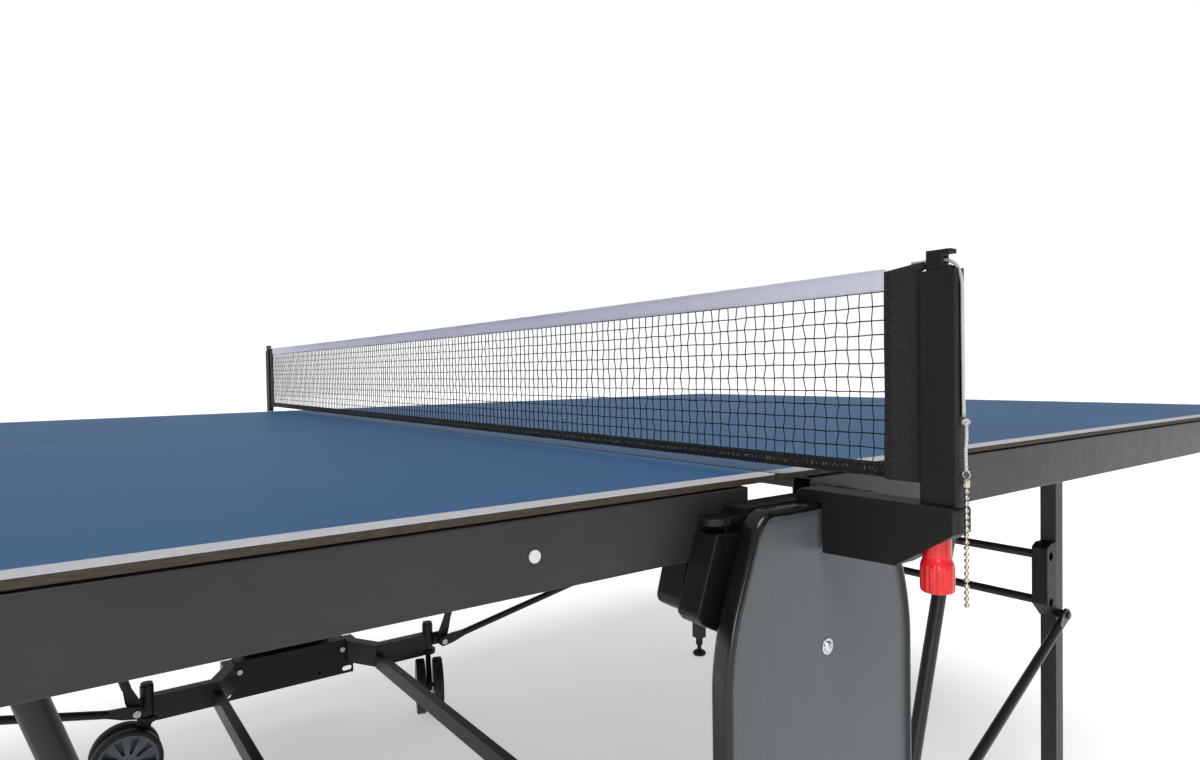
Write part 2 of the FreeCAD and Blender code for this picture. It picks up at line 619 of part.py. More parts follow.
def net():
    cap_head = box(("0 - 4.6", "4.6"), ("0 - 907.3", "0 - 890.2"), ("post_top + 0.3", "cap_top"))
    cap_head = eased(cap_head, 1.5)
    shank = box(("0 - 3.2", "3.2"), ("5 - post_outer", "0 - post_inner - 4.9"),
                ("post_top - 32", "post_top + 0.3"))
    slot = box(("0 - 7", "7"), ("0 - 908", "0 - 901.5"), ("909.5", "917.2"))
    channel = box(("0 - 1.7", "1.7"), ("0 - 911", "0 - 886"), ("911.2", "916"))
    outlet = box(("0 - 1.7", "1.7"), ("0 - 911", "0 - 902.5"), ("907", "912"))
    cap = cut(fuse(cap_head, shank), slot, channel, outlet)
    name_it("post_caps", both(cap))

    span = ("0 - net_end", "net_end")
    name_it("net_mesh", box(("0 - 0.5", "0.5"), span, ("hem_top", "tape_bottom")))
    name_it("net_tape", box(("0 - 1.3", "1.3"), span, ("tape_bottom", "net_top")))
    name_it("net_hem", box(("0 - 1", "1"), span, ("net_bottom", "hem_top")))
    sleeve = box(("0 - 1.6", "1.6"), ("0.4 - post_inner", "0 - net_end"), ("net_bottom - 1", "net_top"))
    name_it("net_sleeves", both(sleeve))


def smooth_path(points):
    """Straight runs joined by tangent arcs, each arc as large as its two runs allow."""
    edges = []
    radii = []
    last = points[0]
    for before, corner, after in zip(points, points[1:], points[2:]):
        back = (before - corner).normalize()
        ahead = (after - corner).normalize()
        turn = math.pi - back.getAngle(ahead)
        shorter = min((before - corner).Length, (after - corner).Length)
        reach = 0.45 * shorter
        radius = reach / math.tan(turn / 2)
        radii.append(round(radius, 1))
        start = corner + back * reach
        end = corner + ahead * reach
        bisector = (back + ahead).normalize()
        centre = corner + bisector * math.hypot(radius, reach)
        edges.append(Part.LineSegment(last, start).toShape())
        edges.append(Part.Arc(start, centre - bisector * radius, end).toShape())
        last = end
    edges.append(Part.LineSegment(last, points[-1]).toShape())
    print("cord radii:", radii)
    return Part.Wire(edges)


def cord_tube(points, radius):
    path = smooth_path(points)
    along = (points[1] - points[0]).normalize()
    section = Part.Wire([Part.makeCircle(radius, points[0], along)])
    tube = path.makePipeShell([section], True, False)
    expected = math.pi * radius ** 2 * path.Length
    print("cord volume ratio:", round(tube.Volume / expected, 4))
    return tube


def cords():
    """The tightening cord: out of the sleeve, over the cap and down the post to its knot."""
    points = [Vector(0, -878, 913.8), Vector(0, -893, 913.8), Vector(0, -906, 913.4),
              Vector(0, -D["cord_y"], 904), Vector(0, -D["cord_y"], 880), Vector(0, -D["cord_y"] - 0.1, 845),
              Vector(0, -D["cord_y"], D["knot_z"] + 5)]
    tube = cord_tube(points, D["cord_radius"])
    name_it("tightening_cords", both(solid(tube, "Cord")))


def pull_chain():
    """Knot, tail of the cord, ring with crimp and the bead chain, hanging from the knot."""
    y = -D["cord_y"] - 2
    shapes = [Part.makeSphere(2.9, Vector(0, y, D["knot_z"])),
              Part.makeCylinder(D["cord_radius"], 32, Vector(0, y, D["knot_z"] - 34)),
              Part.makeTorus(2.4, 0.5, Vector(0, y, 774.6), Vector(1, 0, 0)),
              Part.makeBox(4.6, 3.2, 6, Vector(-2.3, y - 1.6, 766)),
              Part.makeCylinder(0.6, BEAD_COUNT * D["bead_pitch"] - 1, Vector(0, y, 767 - BEAD_COUNT
                                * D["bead_pitch"]))]
    for index in range(BEAD_COUNT):
        height = 764 - index * D["bead_pitch"]
        shapes.append(Part.makeSphere(D["bead_radius"], Vector(0, y, height)))
    chain = shapes[0].fuse(shapes[1:])
    near = solid(chain, "Chain")
    name_it("pull_chain_near", near)
    name_it("pull_chain_far", mirrored(near, "Y"))


# ---------------------------------------------------------------- build, check and write

table_board()
apron_frame()
cross_beams()
pivot_brackets()
rail_plugs()
release_levers()
links()
struts()
legs()
feet()
base_frame()
casters()
tower()
lock_housings()
net_bracket()
knobs()
net()
cords()
pull_chain()
doc.recompute()

for feature in doc.Objects:
    if "Invalid" in feature.State or "Error" in feature.State:
        raise RuntimeError(f"{feature.Name} ({feature.Label}) failed: {feature.State}")
for label, feature in subparts.items():
    if feature.Shape.isNull() or not feature.Shape.isValid():
        raise RuntimeError(label + " has no valid shape")

os.makedirs("parts", exist_ok=True)
for label, feature in subparts.items():
    feature.Shape.exportStep(f"parts/{label}.step")
print(len(subparts), "sub-parts,", sum(len(feature.Shape.Solids) for feature in subparts.values()), "solids")
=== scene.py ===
"""Looks of a folding table-tennis table, built around its CAD frame.

Metres, +Z up, +X along the table, the net over X = 0, the near side towards -Y.
"""

import math

import bmesh
import bpy
from bpy.props import FloatProperty, FloatVectorProperty, IntProperty, PointerProperty
from mathutils import Matrix, Vector, noise


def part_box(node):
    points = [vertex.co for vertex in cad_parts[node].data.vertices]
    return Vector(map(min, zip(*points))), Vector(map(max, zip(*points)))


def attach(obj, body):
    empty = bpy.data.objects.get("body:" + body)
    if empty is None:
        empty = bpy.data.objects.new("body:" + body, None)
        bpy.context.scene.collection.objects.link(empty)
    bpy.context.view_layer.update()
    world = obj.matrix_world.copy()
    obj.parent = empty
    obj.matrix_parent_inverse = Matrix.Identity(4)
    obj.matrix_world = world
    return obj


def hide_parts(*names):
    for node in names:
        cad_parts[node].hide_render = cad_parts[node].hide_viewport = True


bl_info = {
    "name": "Folding Table-Tennis Table",
    "version": (1, 0, 0),
    "blender": (4, 5, 0),
    "location": "View3D > Sidebar > Table",
    "description": "Net, cords, trims and finishes of a folding table-tennis table, on its CAD frame",
    "category": "Object",
}

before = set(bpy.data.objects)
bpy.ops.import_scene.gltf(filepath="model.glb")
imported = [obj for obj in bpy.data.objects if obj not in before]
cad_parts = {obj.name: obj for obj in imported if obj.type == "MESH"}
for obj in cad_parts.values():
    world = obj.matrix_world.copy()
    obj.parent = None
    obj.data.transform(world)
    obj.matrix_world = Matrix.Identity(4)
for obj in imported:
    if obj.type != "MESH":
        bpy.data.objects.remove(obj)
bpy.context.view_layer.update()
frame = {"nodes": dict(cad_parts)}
NODES = frame["nodes"]

HALVES = ("right", "left")
SIDES = {"near": -1, "far": 1}
CORNERS = [f"{side}_{half}" for side in SIDES for half in HALVES]
ZINC = (0.60, 0.62, 0.64)
TWIST_PITCH = 0.0011
DUST = (0.22, 0.21, 0.20, 1.0)
# Pale grey of rubbed edges, also used as a painted highlight along them.
WEAR_AND_HIGHLIGHT = (0.24, 0.23, 0.22, 1.0)


# ---------------------------------------------------------------- sizes and colours a user may change

def length(name, description, default):
    return FloatProperty(name=name, description=description, default=default, min=0.0, precision=4,
                         unit="LENGTH")


def colour(name, description, default):
    return FloatVectorProperty(name=name, description=description, default=default, min=0.0, max=1.0,
                               size=3, subtype="COLOR")


class TableSizes(bpy.types.PropertyGroup):
    edge_line: length("Edge line", "Width of the white lines along the board's edges", 0.020)
    centre_line: length("Centre line", "Width of the line between the two courts", 0.003)
    mesh_pitch: length("Mesh pitch", "Side of one square of the net", 0.010)
    thread: length("Thread", "Thickness of the net's thread", 0.0013)
    net_sag: length("Net sag", "How far the tape hangs at the middle of the net", 0.0020)
    cord: length("Cord", "Diameter of the tightening cord", 0.0022)
    bead: length("Bead", "Diameter of the chain's beads", 0.0034)
    bead_pitch: length("Bead pitch", "Distance between the chain's beads", 0.0041)
    beads: IntProperty(name="Beads", description="Number of beads on each chain", default=19, min=1)
    flutes: IntProperty(name="Flutes", description="Grip flutes round each knob", default=14, min=3)
    floor: length("Floor", "Side of the studio floor", 60.0)


class TableColours(bpy.types.PropertyGroup):
    board: colour("Board", "Lacquer of the playing surface", (0.012, 0.096, 0.235))
    line: colour("Line", "Printed lines", (0.56, 0.56, 0.60))
    core: colour("Core", "Bare edge of the board", (0.046, 0.038, 0.027))
    frame: colour("Frame", "Powder coat of the apron and beams", (0.024, 0.021, 0.024))
    legs: colour("Legs", "Powder coat of the legs, links and base", (0.018, 0.016, 0.016))
    black: colour("Black", "Black paint and moulded parts", (0.005, 0.005, 0.0055))
    cover: colour("Side cover", "Face of the side covers", (0.080, 0.092, 0.100))
    red: colour("Knob", "Red height knobs", (0.72, 0.006, 0.010))
    thread: colour("Thread", "Net, hem and sleeves", (0.0055, 0.0055, 0.006))
    sleeve: colour("Sleeve", "Cloth at the net's ends", (0.020, 0.019, 0.019))
    tape: colour("Tape", "White tape along the net's top", (0.62, 0.62, 0.72))
    cord: colour("Cord", "Braided tightening cord", (0.70, 0.70, 0.68))
    wheel: colour("Wheel", "Discs of the caster wheels", (0.10, 0.12, 0.13))


# ---------------------------------------------------------------- finishes

class Finish:
    """A material's node tree, with short calls for the nodes that the finishes share."""

    def __init__(self, name, colour, roughness, metallic=0.0, uniform=None):
        self.material = bpy.data.materials.new(name)
        self.material.use_nodes = True
        self.tree = self.material.node_tree
        self.shader = self.tree.nodes["Principled BSDF"]
        self.base = (*colour, 1.0)
        self.set("Base Color", self.base)
        self.set("Roughness", roughness)
        self.set("Metallic", metallic)
        for socket, value in (uniform or {}).items():
            self.set(socket, value)
        self.place = self.node("ShaderNodeTexCoord").outputs["Object"]

    def set(self, socket, value):
        self.feed(self.shader.inputs[socket], value)

    def feed(self, socket, value):
        if isinstance(value, bpy.types.NodeSocket):
            self.tree.links.new(value, socket)
        else:
            socket.default_value = value

    def node(self, kind, inputs=None, **settings):
        made = self.tree.nodes.new(kind)
        for setting, value in settings.items():
            setattr(made, setting, value)
        for socket, value in (inputs or {}).items():
            self.feed(made.inputs[socket], value)
        return made

    def axis(self, letter, vector=None):
        return self.node("ShaderNodeSeparateXYZ", {0: vector or self.place}).outputs[letter]

    def uv(self, letter):
        """Metres along (X) or across (Y) a piece that has its own surface map."""
        flat = self.node("ShaderNodeTexCoord").outputs["UV"]
        return self.axis(letter, flat)

    def sum(self, operation, first, second=0.0, third=0.0):
        made = self.node("ShaderNodeMath", operation=operation)
        for index, value in enumerate((first, second, third)):
            self.feed(made.inputs[index], value)
        return made.outputs[0]

    def noise(self, scale, detail=2.0, stretch=None):
        vector = self.place
        if stretch:
            vector = self.node("ShaderNodeMapping", {"Vector": vector, "Scale": stretch}).outputs[0]
        made = self.node("ShaderNodeTexNoise", {"Vector": vector, "Scale": scale, "Detail": detail})
        return made.outputs["Fac"]

    def ramp(self, value, low, high, out_low=0.0, out_high=1.0):
        made = self.node("ShaderNodeMapRange", interpolation_type="SMOOTHSTEP")
        for index, number in enumerate((value, low, high, out_low, out_high)):
            self.feed(made.inputs[index], number)
        return made.outputs[0]

    def mix(self, share, first, second):
        made = self.node("ShaderNodeMix", data_type="RGBA")
        self.feed(made.inputs[0], share)
        self.feed(made.inputs[6], first if hasattr(first, "links") else tuple(first))
        self.feed(made.inputs[7], second if hasattr(second, "links") else tuple(second))
        return made.outputs[2]

    def wave(self, value, pitch):
        """A smooth wave from 0 to 1 along a length in metres."""
        turned = self.sum("MULTIPLY", value, 2 * math.pi / pitch)
        return self.sum("MULTIPLY_ADD", self.sum("SINE", turned), 0.5, 0.5)

    def soft_corner(self, radius):
        """The normal of edges eased by a radius."""
        return self.node("ShaderNodeBevel", {"Radius": radius}, samples=4).outputs[0]

    def edge_share(self, radius):
        """1 on sharp edges and 0 on flat faces."""
        flat = self.node("ShaderNodeNewGeometry").outputs["Normal"]
        made = self.node("ShaderNodeVectorMath", {0: self.soft_corner(radius), 1: flat},
                         operation="DOT_PRODUCT")
        return self.ramp(made.outputs["Value"], 0.99, 0.80)

    def bump(self, height, depth, normal=None):
        made = self.node("ShaderNodeBump", {"Strength": 1.0, "Distance": depth, "Height": height})
        if normal is not None:
            self.feed(made.inputs["Normal"], normal)
        return made.outputs[0]


def rgba(colour):
    return (*colour, 1.0)


def scaled(colour, factor):
    return tuple(min(1.0, channel * factor) for channel in colour)


def board_lacquer(sizes, colours):
    """Matt blue court with printed white lines, and the bare core on the edge and underneath."""
    board_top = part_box("playing_board_right")[1]
    finish = Finish("board_lacquer", colours.board, 0.42, uniform={"Specular IOR Level": 0.28})
    across = finish.sum("ABSOLUTE", finish.axis("Y"))
    along = finish.sum("ABSOLUTE", finish.axis("X"))
    wobble = finish.sum("MULTIPLY_ADD", finish.noise(900, 3), 0.0004, -0.0002)
    soft = 0.0002
    lines = finish.ramp(finish.sum("ADD", across, wobble), board_top.y - sizes.edge_line - soft,
                        board_top.y - sizes.edge_line + soft)
    ends = finish.ramp(finish.sum("ADD", along, wobble), board_top.x - sizes.edge_line - soft,
                       board_top.x - sizes.edge_line + soft)
    middle = finish.ramp(finish.sum("ADD", across, wobble), sizes.centre_line / 2 + soft,
                         sizes.centre_line / 2 - soft, 0.0, 0.45)
    printed = finish.sum("MAXIMUM", finish.sum("MAXIMUM", lines, ends), middle)

    cloud = finish.noise(2.2, 4)
    speckle = finish.noise(1600, 2)
    court = finish.mix(finish.ramp(cloud, 0.3, 0.7), rgba(scaled(colours.board, 0.94)),
                       rgba(scaled(colours.board, 1.07)))
    pale_speck = rgba(scaled(colours.board, 2.2))
    court = finish.mix(finish.ramp(speckle, 0.62, 0.72, 0.0, 0.16), court, pale_speck)
    scuffs = finish.ramp(finish.noise(14, 6, (1, 5, 1)), 0.70, 0.78, 0.0, 0.05)
    court = finish.mix(scuffs, court, rgba((0.4, 0.45, 0.5)))
    worn_line = finish.mix(finish.ramp(finish.noise(260, 5), 0.55, 0.75, 0.0, 0.30), rgba(colours.line),
                           rgba(scaled(colours.line, 0.72)))
    top = finish.mix(printed, court, worn_line)

    grain = finish.noise(420, 5, (0.25, 0.25, 2))
    core = finish.mix(finish.ramp(grain, 0.3, 0.7), rgba(scaled(colours.core, 0.75)),
                      rgba(scaled(colours.core, 1.25)))
    on_top = finish.ramp(finish.axis("Z"), board_top.z - 0.0003, board_top.z - 0.0001)
    finish.set("Base Color", finish.mix(on_top, core, top))
    smooth = finish.sum("MULTIPLY_ADD", finish.noise(300, 4), 0.14, 0.34)
    off_top = finish.sum("SUBTRACT", 1.0, on_top)
    finish.set("Roughness", finish.sum("MULTIPLY_ADD", off_top, 0.3, smooth))
    peel = finish.sum("MULTIPLY_ADD", printed, 0.6, finish.sum("MULTIPLY", finish.noise(1100, 3), 0.5))
    peel = finish.sum("ADD", peel, finish.sum("MULTIPLY", grain, off_top))
    finish.set("Normal", finish.bump(peel, 0.00006, finish.soft_corner(0.0006)))
    return finish.material


def powder_coat(name, colour, roughness):
    """Baked powder paint: orange peel, slightly uneven gloss, edges painted a little lighter, partly as
    rubbed paint and partly as a painted highlight.
    """
    finish = Finish(name, colour, roughness, uniform={"Specular IOR Level": 0.35})
    patches = finish.ramp(finish.noise(45, 5), 0.35, 0.7)
    # Edges painted lighter: partly rubbed paint, partly a painted highlight.
    rubbed_and_highlit = finish.sum("MULTIPLY", finish.edge_share(0.0012), patches)
    patchy = finish.mix(finish.ramp(finish.noise(9, 5), 0.3, 0.7), rgba(scaled(colour, 0.90)),
                        rgba(scaled(colour, 1.12)))
    dust = finish.ramp(finish.noise(2300, 1), 0.70, 0.76, 0.0, 0.06)
    dusty = finish.mix(dust, patchy, DUST)
    finish.set("Base Color", finish.mix(finish.sum("MULTIPLY", rubbed_and_highlit, 0.2), dusty, WEAR_AND_HIGHLIGHT))
    finish.set("Roughness", finish.sum("MULTIPLY_ADD", finish.noise(60, 6), 0.16, roughness - 0.08))
    peel = finish.noise(850, 2)
    finish.set("Normal", finish.bump(peel, 0.00005, finish.soft_corner(0.0009)))
    return finish.material


def cover_paint(colour):
    """Satin sheet of the side covers, with faint upright roller marks."""
    finish = Finish("cover_paint", colour, 0.40, uniform={"Specular IOR Level": 0.4})
    streaks = finish.noise(60, 4, (4.0, 1.0, 0.05))
    patchy = finish.mix(finish.ramp(streaks, 0.3, 0.7), rgba(scaled(colour, 0.97)),
                        rgba(scaled(colour, 1.03)))
    marks = finish.ramp(finish.noise(900, 1), 0.73, 0.77, 0.0, 0.10)
    finish.set("Base Color", finish.mix(marks, patchy, rgba(scaled(colour, 1.9))))
    finish.set("Roughness", finish.sum("MULTIPLY_ADD", streaks, 0.06, 0.36))
    fine = finish.sum("MULTIPLY_ADD", streaks, 0.1, finish.noise(1500, 2))
    finish.set("Normal", finish.bump(fine, 0.00003))
    return finish.material


def moulded_plastic(name, colour, roughness, grain=0.00006, corner=0.0010, ribs=0.0):
    """Injection-moulded plastic with a spark-eroded grain; ribs gives the pitch of level ribs."""
    finish = Finish(name, colour, roughness, uniform={"Specular IOR Level": 0.32})
    patchy = finish.mix(finish.ramp(finish.noise(25, 4), 0.3, 0.7), rgba(scaled(colour, 0.85)),
                        rgba(scaled(colour, 1.2)))
    # Edges painted a little lighter grey: partly rubbing, partly a painted highlight.
    rubbed_and_highlit = finish.sum("MULTIPLY", finish.edge_share(corner), 0.08)
    finish.set("Base Color", finish.mix(rubbed_and_highlit, patchy, rgba((0.20, 0.20, 0.20))))
    finish.set("Roughness", finish.sum("MULTIPLY_ADD", finish.noise(120, 5), 0.18, roughness - 0.09))
    height = finish.noise(2600, 2)
    if ribs:
        height = finish.sum("MULTIPLY_ADD", finish.wave(finish.axis("Z"), ribs), 1.4, height)
    finish.set("Normal", finish.bump(height, grain, finish.soft_corner(corner)))
    return finish.material


def gloss_trim(colour):
    """Semi-gloss extruded edging, faintly scuffed."""
    finish = Finish("gloss_trim", colour, 0.16, uniform={"Specular IOR Level": 0.5})
    scuff = finish.noise(90, 5)
    finish.set("Base Color", finish.mix(finish.ramp(scuff, 0.35, 0.7), rgba(scaled(colour, 0.9)),
                                        rgba(scaled(colour, 1.15))))
    finish.set("Roughness", finish.sum("MULTIPLY_ADD", scuff, 0.08, 0.11))
    finish.set("Normal", finish.bump(finish.noise(1900, 2), 0.00002))
    return finish.material


def plated_metal(name, colour, roughness, spangle):
    """Plated metal with a faint spangle and fine scratches."""
    finish = Finish(name, colour, roughness, metallic=1.0)
    cells = finish.node("ShaderNodeTexVoronoi", {"Vector": finish.place, "Scale": spangle})
    shade = finish.ramp(finish.axis("X", cells.outputs["Color"]), 0.0, 1.0, 0.0, 0.6)
    stain = finish.ramp(finish.noise(140, 5), 0.45, 0.75, 0.0, 0.5)
    plated = finish.mix(shade, rgba(colour), rgba(scaled(colour, 0.78)))
    finish.set("Base Color", finish.mix(stain, plated, rgba(scaled(colour, 0.55))))
    finish.set("Roughness", finish.sum("MULTIPLY_ADD", finish.noise(700, 4), 0.25, roughness - 0.12))
    finish.set("Normal", finish.bump(finish.noise(1800, 3), 0.00003, finish.soft_corner(0.0004)))
    return finish.material


def knob_plastic(colour):
    """Bright glossy red plastic with a faintly uneven tone."""
    finish = Finish("knob_plastic", colour, 0.26, uniform={"IOR": 1.5, "Coat Weight": 0.3,
                                                          "Coat Roughness": 0.15})
    finish.set("Base Color", finish.mix(finish.ramp(finish.noise(180, 4), 0.35, 0.7),
                                        rgba(scaled(colour, 0.86)), rgba(scaled(colour, 1.15))))
    finish.set("Roughness", finish.sum("MULTIPLY_ADD", finish.noise(500, 4), 0.16, 0.20))
    finish.set("Normal", finish.bump(finish.noise(1500, 2), 0.00003))
    return finish.material


def net_thread(colour):
    """Waxed black thread, with the slant of its twist: painted shade in its grooves and a painted
    highlight on its ridges.
    """
    finish = Finish("net_thread", colour, 0.70, uniform={"Specular IOR Level": 0.25})
    slant = finish.sum("ADD", finish.axis("Y"), finish.axis("Z"))
    twist = finish.wave(slant, TWIST_PITCH)
    # The twist is painted darker in its grooves and lighter on its ridges: painted shade and painted
    # highlight.
    finish.set("Base Color", finish.mix(twist, rgba(scaled(colour, 0.5)), rgba(scaled(colour, 1.4))))
    finish.set("Roughness", finish.sum("MULTIPLY_ADD", finish.noise(900, 3), 0.2, 0.60))
    finish.set("Normal", finish.bump(twist, 0.00015))
    return finish.material


def woven(name, colour, pitch, depth, contrast, stitch_rows=(), fuzz=0.25, flecks=0.0,
          overlock=None):
    """Cloth woven over and under along its own surface map.

    stitch_rows are heights of sewn lines, flecks is the share of open stitches that show light, and
    overlock is a raised zigzag seam: its distance from the table's middle and its width.
    """
    finish = Finish(name, colour, 0.85, uniform={"Sheen Weight": fuzz, "Sheen Roughness": 0.5,
                                                 "Specular IOR Level": 0.25})
    along = finish.uv("X")
    across = finish.uv("Y")
    warp = finish.wave(along, pitch)
    weft = finish.wave(across, pitch)
    over = finish.sum("MULTIPLY", warp, weft)
    under = finish.sum("MULTIPLY", finish.sum("SUBTRACT", 1.0, warp), finish.sum("SUBTRACT", 1.0, weft))
    weave = finish.sum("ADD", over, under)
    slub = finish.noise(240, 5)
    shade = finish.sum("MULTIPLY_ADD", slub, 0.5, finish.sum("MULTIPLY", weave, 0.6))
    cloth = finish.mix(finish.ramp(shade, 0.15, 0.85), rgba(scaled(colour, 1.0 - contrast)),
                       rgba(scaled(colour, 1.0 + contrast)))
    height = finish.sum("MULTIPLY_ADD", slub, 0.4, weave)
    if flecks:
        some = finish.ramp(finish.noise(420, 2), 0.5, 0.6)
        holes = finish.sum("MULTIPLY", finish.ramp(under, 0.55, 0.8), some)
        cloth = finish.mix(finish.sum("MULTIPLY", holes, flecks), cloth, rgba((0.45, 0.45, 0.46)))
    if overlock:
        seam, width = overlock
        from_middle = finish.sum("ABSOLUTE", finish.axis("Y"))
        turn = finish.sum("MULTIPLY", finish.axis("Z"), 2 * math.pi / 0.0055)
        sway = finish.sum("MULTIPLY_ADD", finish.sum("SINE", turn), width / 2, seam)
        from_seam = finish.sum("ABSOLUTE", finish.sum("SUBTRACT", from_middle, sway))
        raised = finish.ramp(from_seam, 0.0009, 0.0004)
        cloth = finish.mix(raised, cloth, rgba(scaled(colour, 0.15)))
        height = finish.sum("MULTIPLY_ADD", raised, 5.0, height)
    for row in stitch_rows:
        from_row = finish.sum("ABSOLUTE", finish.sum("SUBTRACT", across, row))
        near_row = finish.ramp(from_row, 0.0006, 0.0002)
        dash = finish.sum("MULTIPLY", near_row, finish.ramp(finish.wave(along, 0.0026), 0.25, 0.45))
        cloth = finish.mix(finish.sum("MULTIPLY", dash, 0.7), cloth, rgba(scaled(colour, 0.75)))
        height = finish.sum("MULTIPLY_ADD", near_row, -1.2, height)
        height = finish.sum("MULTIPLY_ADD", dash, 2.4, height)
    finish.set("Base Color", cloth)
    finish.set("Roughness", finish.sum("MULTIPLY_ADD", slub, 0.2, 0.72))
    finish.set("Normal", finish.bump(height, depth))
    return finish.material


def braid(colour):
    """White braided cord: strands crossing both ways round its own surface map, with painted shade in the
    gaps between them.
    """
    finish = Finish("braid", colour, 0.80, uniform={"Sheen Weight": 0.3, "Sheen Roughness": 0.5})
    along = finish.uv("X")
    across = finish.uv("Y")
    left = finish.wave(finish.sum("ADD", along, across), TWIST_PITCH)
    right = finish.wave(finish.sum("SUBTRACT", along, across), TWIST_PITCH)
    strands = finish.sum("MAXIMUM", left, right)
    # The gaps between the strands are painted darker: painted shade.
    finish.set("Base Color", finish.mix(finish.ramp(strands, 0.45, 0.95), rgba(scaled(colour, 0.45)),
                                        rgba(colour)))
    finish.set("Roughness", finish.sum("MULTIPLY_ADD", finish.noise(900, 3), 0.2, 0.68))
    finish.set("Normal", finish.bump(strands, 0.00025))
    return finish.material


def tyre_rubber(colour):
    """Dull rubber with a little floor dust."""
    finish = Finish("tyre_rubber", colour, 0.62, uniform={"IOR": 1.5})
    dust = finish.ramp(finish.noise(70, 6), 0.45, 0.8, 0.0, 0.35)
    finish.set("Base Color", finish.mix(dust, rgba(colour), rgba((0.10, 0.095, 0.09))))
    finish.set("Roughness", finish.sum("MULTIPLY_ADD", finish.noise(300, 5), 0.25, 0.50))
    finish.set("Normal", finish.bump(finish.noise(1300, 3), 0.00008, finish.soft_corner(0.001)))
    return finish.material


# ---------------------------------------------------------------- making pieces

def dress(material, *names):
    """Give CAD nodes their finish."""
    for name in names:
        mesh = NODES[name].data
        mesh.materials.clear()
        mesh.materials.append(material)


def finished(name, bm, material, body, replaces=(), smooth=True):
    """Turn a bmesh into a piece that rides on a body and takes a finish."""
    mesh = bpy.data.meshes.new(name)
    bm.to_mesh(mesh)
    bm.free()
    for polygon in mesh.polygons:
        polygon.use_smooth = smooth
    mesh.materials.append(material)
    piece = bpy.data.objects.new(name, mesh)
    bpy.context.scene.collection.objects.link(piece)
    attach(piece, body)
    if replaces:
        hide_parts(*replaces)
    return piece


def lofted(along, around, point, size):
    """A surface made from a grid: point(u, v) places it, and size is its length and girth in metres."""
    bm = bmesh.new()
    bmesh.ops.create_grid(bm, x_segments=along, y_segments=around, size=0.5)
    surface_map = bm.loops.layers.uv.new("UVMap")
    for face in bm.faces:
        for loop in face.loops:
            u, v = loop.vert.co.x + 0.5, loop.vert.co.y + 0.5
            loop[surface_map].uv = (u * size[0], v * size[1])
    for vert in bm.verts:
        vert.co = point(vert.co.x + 0.5, vert.co.y + 0.5)
    bmesh.ops.remove_doubles(bm, verts=bm.verts, dist=1e-6)
    bmesh.ops.recalc_face_normals(bm, faces=bm.faces)
    return bm


def close_ends(bm):
    """Fill the open ends of a tube."""
    rim = [edge for edge in bm.edges if edge.is_boundary]
    bmesh.ops.holes_fill(bm, edges=rim, sides=0)
    bmesh.ops.recalc_face_normals(bm, faces=bm.faces)
    return bm


def mirrored_to(side, bm):
    """Turn a piece drawn on the near side into the far one."""
    if side == "far":
        bmesh.ops.mirror(bm, geom=bm.verts[:] + bm.edges[:] + bm.faces[:], matrix=Matrix(), axis="Y",
                         merge_dist=-1.0)
        originals = [vert for vert in bm.verts if vert.co.y < 0]
        bmesh.ops.delete(bm, geom=originals, context="VERTS")
        bmesh.ops.recalc_face_normals(bm, faces=bm.faces)
    return bm


def flat_outline(bm, corners, segments):
    """A flat face in the XZ plane through (x, z, reach) corners, each eased over its reach."""
    verts = [bm.verts.new((x, 0.0, z)) for x, z, reach in corners]
    bm.faces.new(verts)
    for vert, (x, z, reach) in zip(verts, corners):
        if reach:
            bmesh.ops.bevel(bm, geom=[vert], offset=reach, offset_type="OFFSET", segments=segments,
                            profile=0.5, affect="VERTICES", material=-1)
    bm.faces.ensure_lookup_table()
    return bm.faces[0]


def spline_points(points, diameter, resolution=14):
    """Points along the smooth line that a NURBS spline makes from its control points.

    Points closer together than a twentieth of the cord's diameter are left out.
    """
    line = bpy.data.curves.new("route", "CURVE")
    line.dimensions = "3D"
    line.resolution_u = resolution
    spline = line.splines.new("NURBS")
    spline.points.add(len(points) - 1)
    for place, point in zip(spline.points, points):
        place.co = (*point, 1.0)
    spline.order_u = 3
    spline.use_endpoint_u = True
    route = bpy.data.objects.new("route", line)
    bpy.context.scene.collection.objects.link(route)
    mesh = bpy.data.meshes.new_from_object(route)
    found = [vert.co.copy() for vert in mesh.vertices]
    bpy.data.objects.remove(route)
    bpy.data.curves.remove(line)
    bpy.data.meshes.remove(mesh)
    return [point for index, point in enumerate(found)
            if index == 0 or (point - found[index - 1]).length > diameter * 0.05]


def cord_along(points, radius, around=14):
    """A round cord that follows a line, with its own surface map and closed ends."""
    frames = []
    side = None
    for index, here in enumerate(points):
        before = points[max(index - 1, 0)]
        after = points[min(index + 1, len(points) - 1)]
        ahead = (after - before).normalized()
        if side is None:
            side = ahead.orthogonal().normalized()
        side = (side - ahead * side.dot(ahead)).normalized()
        frames.append((here, side, ahead.cross(side)))
    total = sum((b - a).length for a, b in zip(points, points[1:]))

    def point(u, v):
        here, first, second = frames[round(u * (len(points) - 1))]
        turn = 2 * math.pi * v
        return here + (first * math.cos(turn) + second * math.sin(turn)) * radius

    bm = lofted(len(points) - 1, around, point, (total, 2 * math.pi * radius))
    return close_ends(bm)


# ---------------------------------------------------------------- operators

class TABLE_OT_playing_surface(bpy.types.Operator):
    """Finish the two playing boards with lacquer, printed lines and bare edges"""
    bl_idname = "table.playing_surface"
    bl_label = "Playing Surface"

    def execute(self, context):
        scene = context.scene
        lacquer = board_lacquer(scene.table_sizes, scene.table_colours)
        dress(lacquer, *[f"playing_board_{half}" for half in HALVES])
        return {"FINISHED"}


